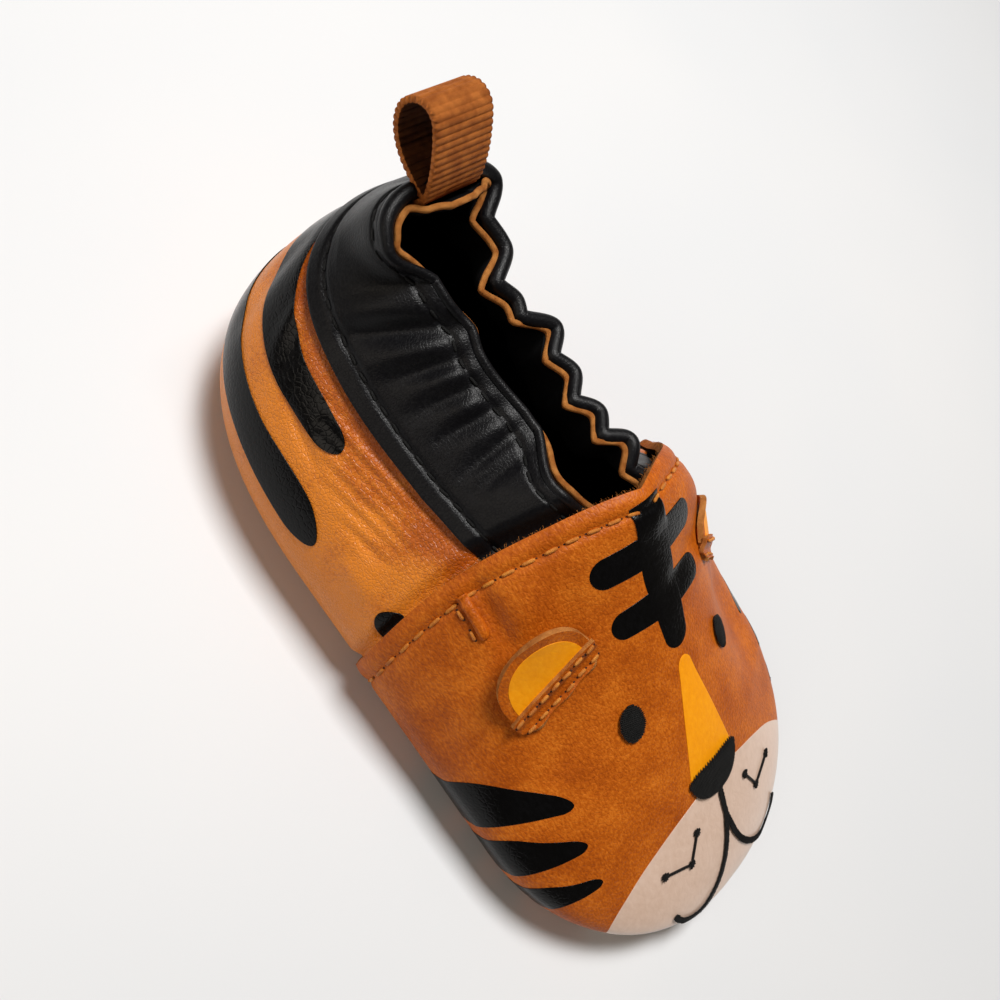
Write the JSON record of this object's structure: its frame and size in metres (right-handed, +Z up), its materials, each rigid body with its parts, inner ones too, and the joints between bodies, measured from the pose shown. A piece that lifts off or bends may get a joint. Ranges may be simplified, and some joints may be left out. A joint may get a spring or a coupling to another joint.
{
  "type": "baby moccasin",
  "caption": "Soft-soled baby moccasin with a tiger-face vamp, small ears, a gathered elastic collar and a heel pull loop.",
  "frame": {"origin": "centre of the shoe's bounding box on the floor under the sole", "axes": "toe towards -Y, heel towards +Y, +X to the wearer's left, +Z up from the floor"},
  "size_m": [0.067, 0.125, 0.0585],
  "materials": {
    "sole_suede": "matt brown suede",
    "insole_lining": "matt black lining cloth",
    "upper_leather": "tan-brown leather with a fine grain and printed and sewn face",
    "collar_leather": "soft black gathered leather",
    "loop_ribbon": "brown ribbed ribbon",
    "ear_leather": "tan-brown leather with a yellow inner ear"
  },
  "bodies": {
    "root": {"sole": "sole_suede", "insole": "insole_lining", "upper": "upper_leather", "collar": "collar_leather", "pull_loop": "loop_ribbon", "ear_left": "ear_leather", "ear_right": "ear_leather"}
  },
  "joints": []
}
